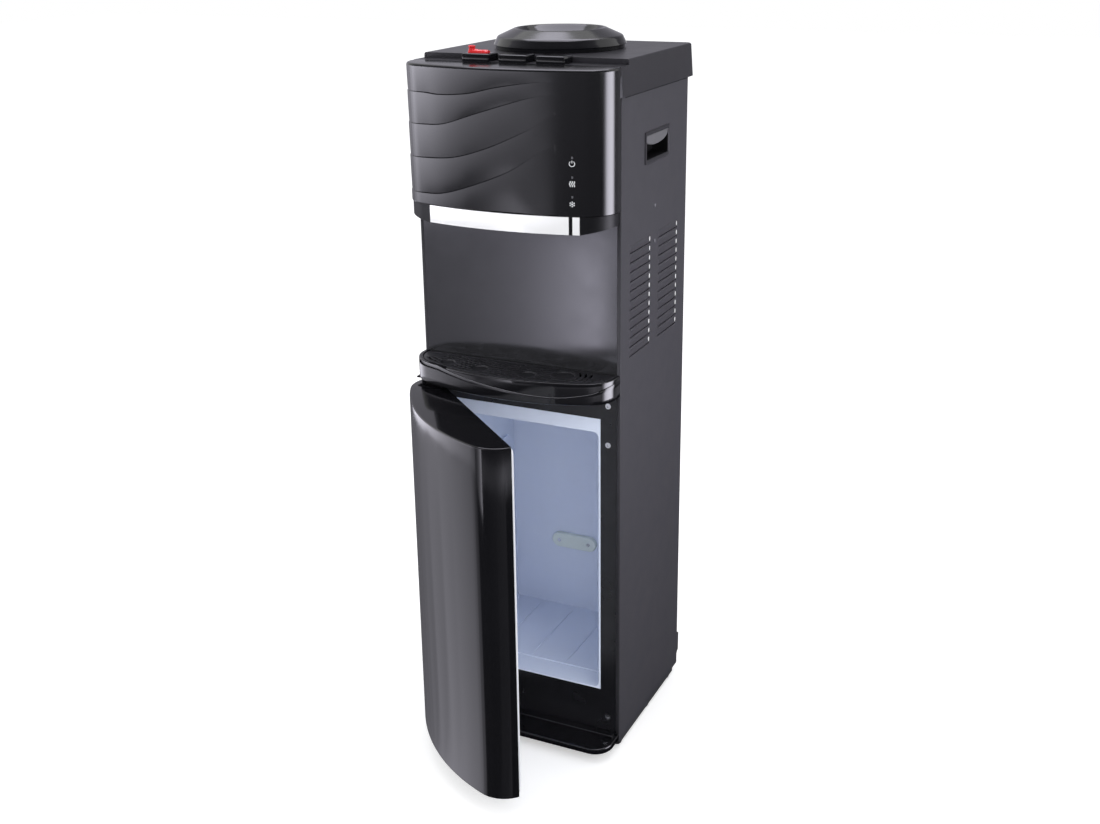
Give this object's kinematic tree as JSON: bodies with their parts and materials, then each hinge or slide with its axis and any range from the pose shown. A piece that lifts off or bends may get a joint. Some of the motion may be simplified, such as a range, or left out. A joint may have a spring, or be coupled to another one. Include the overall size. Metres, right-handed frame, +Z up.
{
  "type": "water cooler",
  "caption": "Free-standing water cooler with a bottle collar on top, three push buttons over taps, a drip tray and an open storage cabinet with a bowed door below.",
  "frame": {"origin": "floor level under the centre of the steel cabinet, on the middle foot rail", "axes": "+Z up, the front with the taps and the door faces -Y, +X is the right side seen from the front"},
  "size_m": [0.303, 0.4918, 1.02],
  "materials": {
    "charcoal_steel": "satin",
    "black_gloss": "gloss",
    "black_plastic": "satin",
    "recess_satin": "satin",
    "white_plastic": "satin",
    "white_rubber": "matte",
    "chrome_trim": "polished",
    "red_plastic": "gloss",
    "foam": "matte",
    "zinc_steel": "satin",
    "bright_steel": "polished",
    "sink_aluminium": "satin",
    "silicone": "satin",
    "board": "satin",
    "lens": "gloss"
  },
  "bodies": {
    "cabinet": {"base_tray": "black_plastic", "foot_rails": "black_plastic", "front_skirt": "black_plastic", "left_side_panel": "charcoal_steel", "right_side_panel": "charcoal_steel", "handle_pockets": "black_plastic", "rear_panel": "zinc_steel", "rear_fan_cover": "black_plastic", "top_cover": "black_plastic", "bottle_collar": "black_gloss", "water_guard": "black_plastic", "front_panel": "black_gloss", "tap_housing": "black_plastic", "trim_strip": "chrome_trim", "recess_panel": "recess_satin", "front_frame": "charcoal_steel", "cabinet_screws": "bright_steel", "storage_liner": "white_plastic", "cabinet_insulation": "foam", "sensor_cover": "white_plastic", "equipment_deck": "zinc_steel", "tank_shelf": "zinc_steel", "cold_tank": "zinc_steel", "cold_tank_jacket": "foam", "cooling_module": "sink_aluminium", "heat_sink": "sink_aluminium", "fan_frame": "black_plastic", "hot_tank": "zinc_steel", "hot_tank_jacket": "foam", "hot_tap": "white_plastic", "room_tap": "white_plastic", "cold_tap": "white_plastic", "hot_hose": "silicone", "room_hose": "silicone", "cold_hose": "silicone", "feed_hose": "silicone", "drain_outlet": "black_plastic", "power_supply": "zinc_steel", "indicator_board": "board", "indicator_lenses": "lens", "door_hinges": "zinc_steel", "tray_housing": "black_gloss", "cord_gland": "black_plastic", "switch_housing": "black_plastic", "hot_spring": "bright_steel", "room_spring": "bright_steel", "cold_spring": "bright_steel"},
    "door": {"door_shell": "black_gloss", "door_liner": "white_plastic", "door_insulation": "foam", "door_gasket": "white_rubber"},
    "tray": {"drip_tray": "black_gloss"},
    "grille": {"drip_grille": "black_plastic"},
    "hot_cap": {"hot_button": "black_plastic"},
    "room_cap": {"room_button": "black_plastic"},
    "cold_cap": {"cold_button": "black_plastic"},
    "latch": {"hot_latch": "red_plastic"},
    "rotor": {"fan_rotor": "black_plastic"},
    "hot_rocker": {"hot_switch": "red_plastic"},
    "cold_rocker": {"cold_switch": "black_plastic"}
  },
  "joints": [
    {"name": "door_hinge", "type": "hinge", "parent": "cabinet", "child": "door", "pos_m": [-0.1415, -0.1458, 0.287], "axis": [0, 0, 1], "range_deg": [-68.5, 41.5]},
    {"name": "tray_lift", "type": "slide", "parent": "cabinet", "child": "tray", "axis": [0, 0, 1], "range_m": [0, 0.03]},
    {"name": "grille_lift", "type": "slide", "parent": "tray", "child": "grille", "axis": [0, 0, 1], "range_m": [0, 0.02]},
    {"name": "hot_press", "type": "slide", "parent": "cabinet", "child": "hot_cap", "axis": [0, 0, -1], "range_m": [0, 0.005], "stiffness_N_per_m": 300, "springref_m": -0.004, "deforming": ["hot_spring"]},
    {"name": "room_press", "type": "slide", "parent": "cabinet", "child": "room_cap", "axis": [0, 0, -1], "range_m": [0, 0.005], "stiffness_N_per_m": 300, "springref_m": -0.004, "deforming": ["room_spring"]},
    {"name": "cold_press", "type": "slide", "parent": "cabinet", "child": "cold_cap", "axis": [0, 0, -1], "range_m": [0, 0.005], "stiffness_N_per_m": 300, "springref_m": -0.004, "deforming": ["cold_spring"]},
    {"name": "latch_slide", "type": "slide", "parent": "hot_cap", "child": "latch", "axis": [1, 0, 0], "range_m": [0, 0.004], "stiffness_N_per_m": 150, "springref_m": -0.002},
    {"name": "fan_spin", "type": "hinge", "parent": "cabinet", "child": "rotor", "pos_m": [0, 0.1315, 0.85], "axis": [0, 1, 0], "continuous": true},
    {"name": "hot_rock", "type": "hinge", "parent": "cabinet", "child": "hot_rocker", "pos_m": [0.0815, 0.1205, 0.653], "axis": [1, 0, 0], "range_deg": [0, 16]},
    {"name": "cold_rock", "type": "hinge", "parent": "cabinet", "child": "cold_rocker", "pos_m": [0.0985, 0.1205, 0.653], "axis": [1, 0, 0], "range_deg": [0, 16]}
  ]
}
